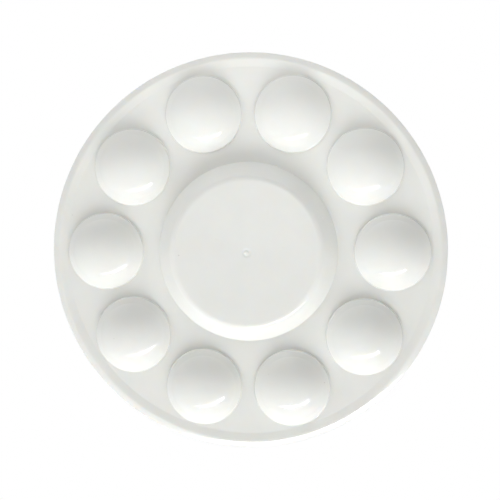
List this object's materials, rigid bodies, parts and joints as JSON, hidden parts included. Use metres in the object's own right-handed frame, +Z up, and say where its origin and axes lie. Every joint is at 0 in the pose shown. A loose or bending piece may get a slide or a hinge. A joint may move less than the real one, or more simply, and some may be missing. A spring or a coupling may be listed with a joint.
{
  "type": "mixing palette",
  "caption": "round moulded paint palette: flat deck with a ring of spherical wells around a wide shallow central mixing dish, with a gently swelling rim",
  "frame": {"origin": "centre of the plane the palette stands on: under the centre of the central dish, level with the undersides of the dish floor and of the wells", "axes": "+Z up, out of the open wells; +X from the centre through the middle of one well, so +Y passes midway between two wells"},
  "size_m": [0.17, 0.17, 0.0103],
  "materials": {
    "white_plastic": "glossy white moulded plastic, very slightly warm and faintly translucent"
  },
  "bodies": {
    "root": {"palette_body": "white_plastic"}
  },
  "joints": []
}
